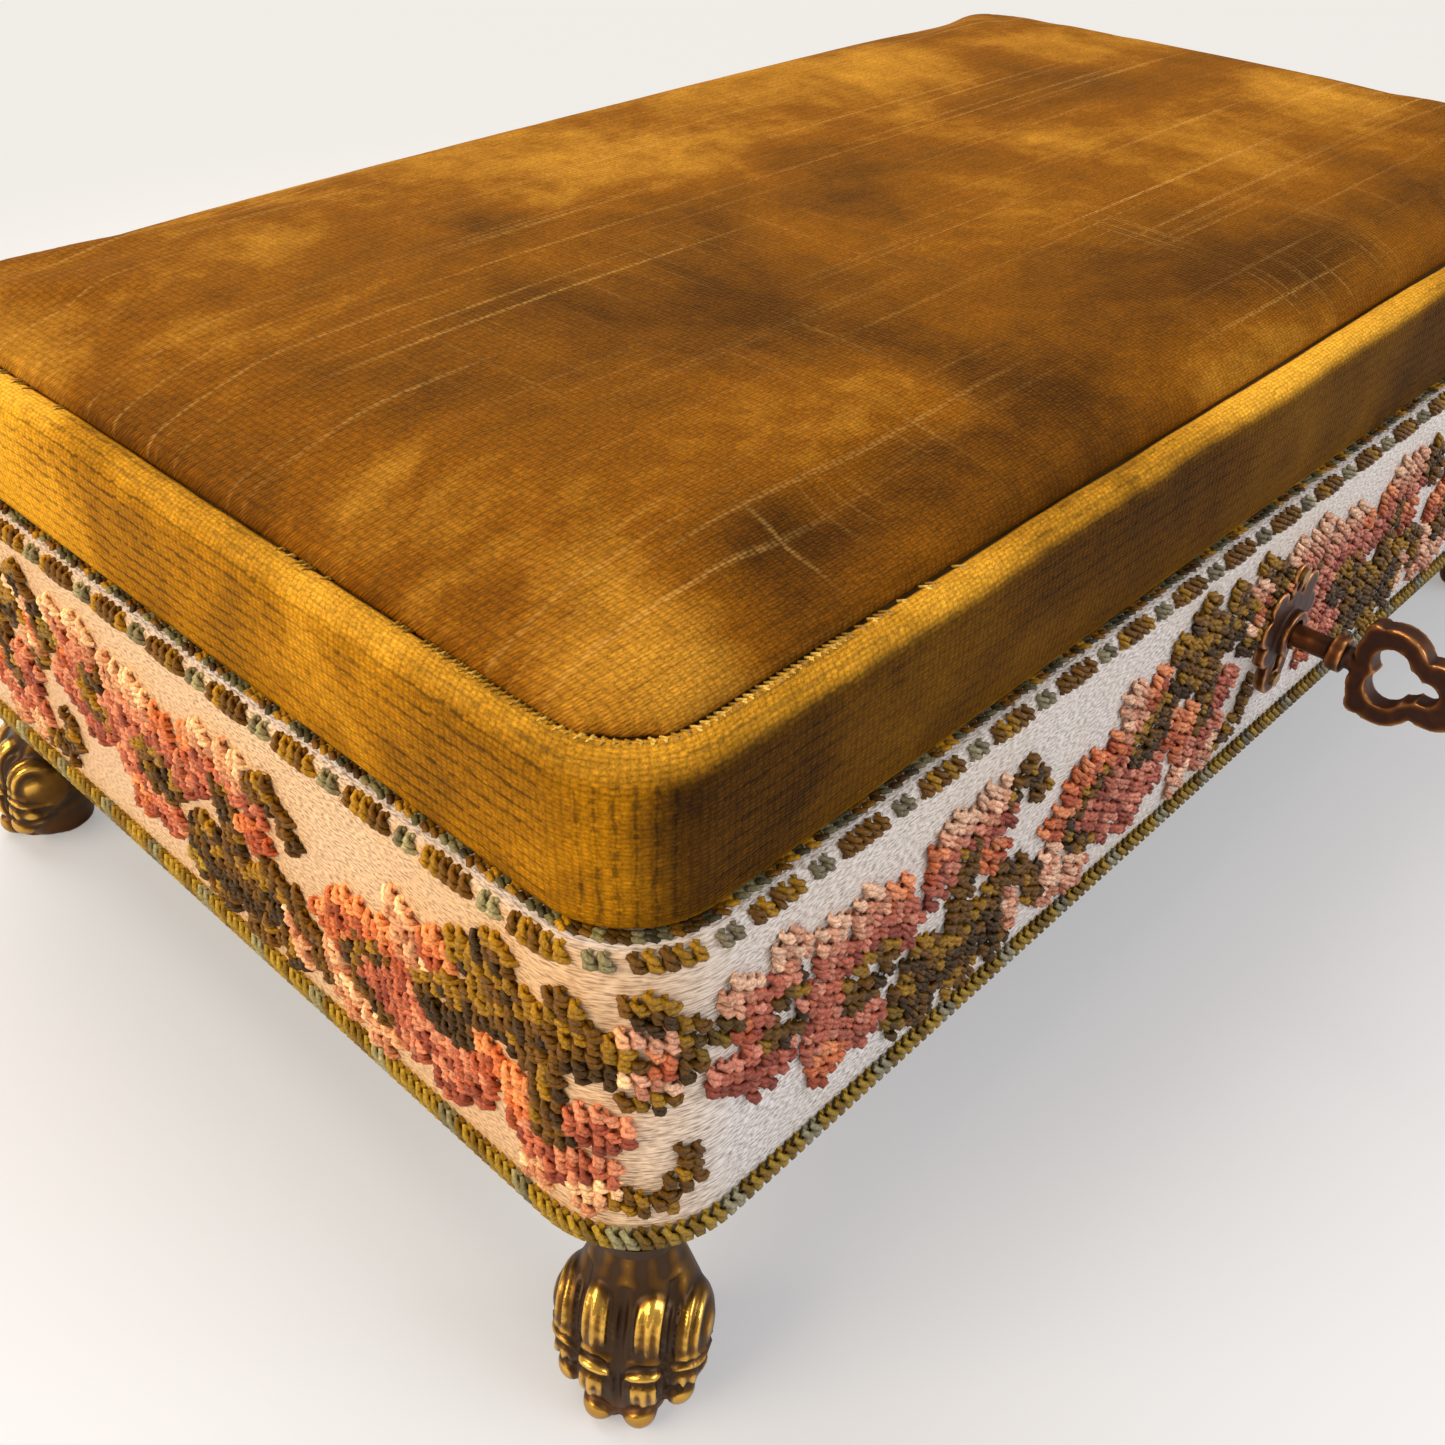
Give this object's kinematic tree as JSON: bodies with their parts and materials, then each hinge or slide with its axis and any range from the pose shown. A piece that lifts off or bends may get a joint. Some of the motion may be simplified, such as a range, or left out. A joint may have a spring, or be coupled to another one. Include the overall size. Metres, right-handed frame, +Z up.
{
  "type": "jewelry casket",
  "caption": "Low rectangular jewelry casket on claw feet, with a padded velvet lid on hinges, a stitched floral ribbon round the base and a small lock with its key.",
  "frame": {"origin": "on the floor, under the middle of the whole piece with its key and hinge barrels", "axes": "+X to the right along the front, +Y to the back, +Z up"},
  "size_m": [0.2024, 0.1412, 0.0729],
  "materials": {
    "bent_wood": "matt",
    "board": "matt",
    "stitched_ribbon": "cream satin ground with stitched flowers",
    "velvet": "crushed velvet",
    "satin": "satin",
    "wadding": "loose fibre",
    "plain_cloth": "plain weave",
    "antique_brass": "antiqued cast brass",
    "brass": "plain brass",
    "steel": "plain steel"
  },
  "bodies": {
    "casket_base": {"base_frame": "bent_wood", "base_floor": "board", "underside_cloth": "plain_cloth", "tapestry_band": "stitched_ribbon", "wall_lining": "satin", "floor_pad": "satin", "paw_foot_front_left": "antique_brass", "paw_foot_front_right": "antique_brass", "paw_foot_back_left": "antique_brass", "paw_foot_back_right": "antique_brass", "foot_screws": "steel", "escutcheon": "antique_brass", "escutcheon_pins": "antique_brass", "lock_case": "brass", "lock_cap": "brass", "bolt_spring": "steel", "lock_screws": "steel", "hinge_lower_leaf_left": "brass", "hinge_lower_leaf_right": "brass", "hinge_pins": "steel", "hinge_lower_screws": "steel"},
    "lid": {"lid_frame": "bent_wood", "lid_board": "board", "strike_block": "bent_wood", "velvet_border": "velvet", "velvet_top": "velvet", "top_wadding": "wadding", "lid_lining": "satin", "strike_plate": "brass", "strike_screws": "steel", "hinge_upper_leaf_left": "brass", "hinge_upper_leaf_right": "brass", "hinge_upper_screws": "steel"},
    "sleeve": {"key_sleeve": "brass"},
    "key": {"key": "antique_brass"},
    "bolt": {"lock_bolt": "steel"}
  },
  "joints": [
    {"name": "lid_open", "type": "hinge", "parent": "casket_base", "child": "lid", "pos_m": [0, 0.0691, 0.0537], "axis": [-1, 0, 0], "range_deg": [0, 100]},
    {"name": "key_turn", "type": "hinge", "parent": "casket_base", "child": "sleeve", "pos_m": [0, -0.0416, 0.0367], "axis": [0, 1, 0], "range_deg": [0, 360]},
    {"name": "key_pull", "type": "slide", "parent": "sleeve", "child": "key", "axis": [0, -1, 0], "range_m": [0, 0.0158]},
    {"name": "bolt_throw", "type": "slide", "parent": "casket_base", "child": "bolt", "axis": [1, 0, 0], "range_m": [0, 0.005]}
  ],
  "couplings": [
    {"joint": "key_turn", "follows": "bolt_throw", "rad_per_m": 1256.6}
  ]
}
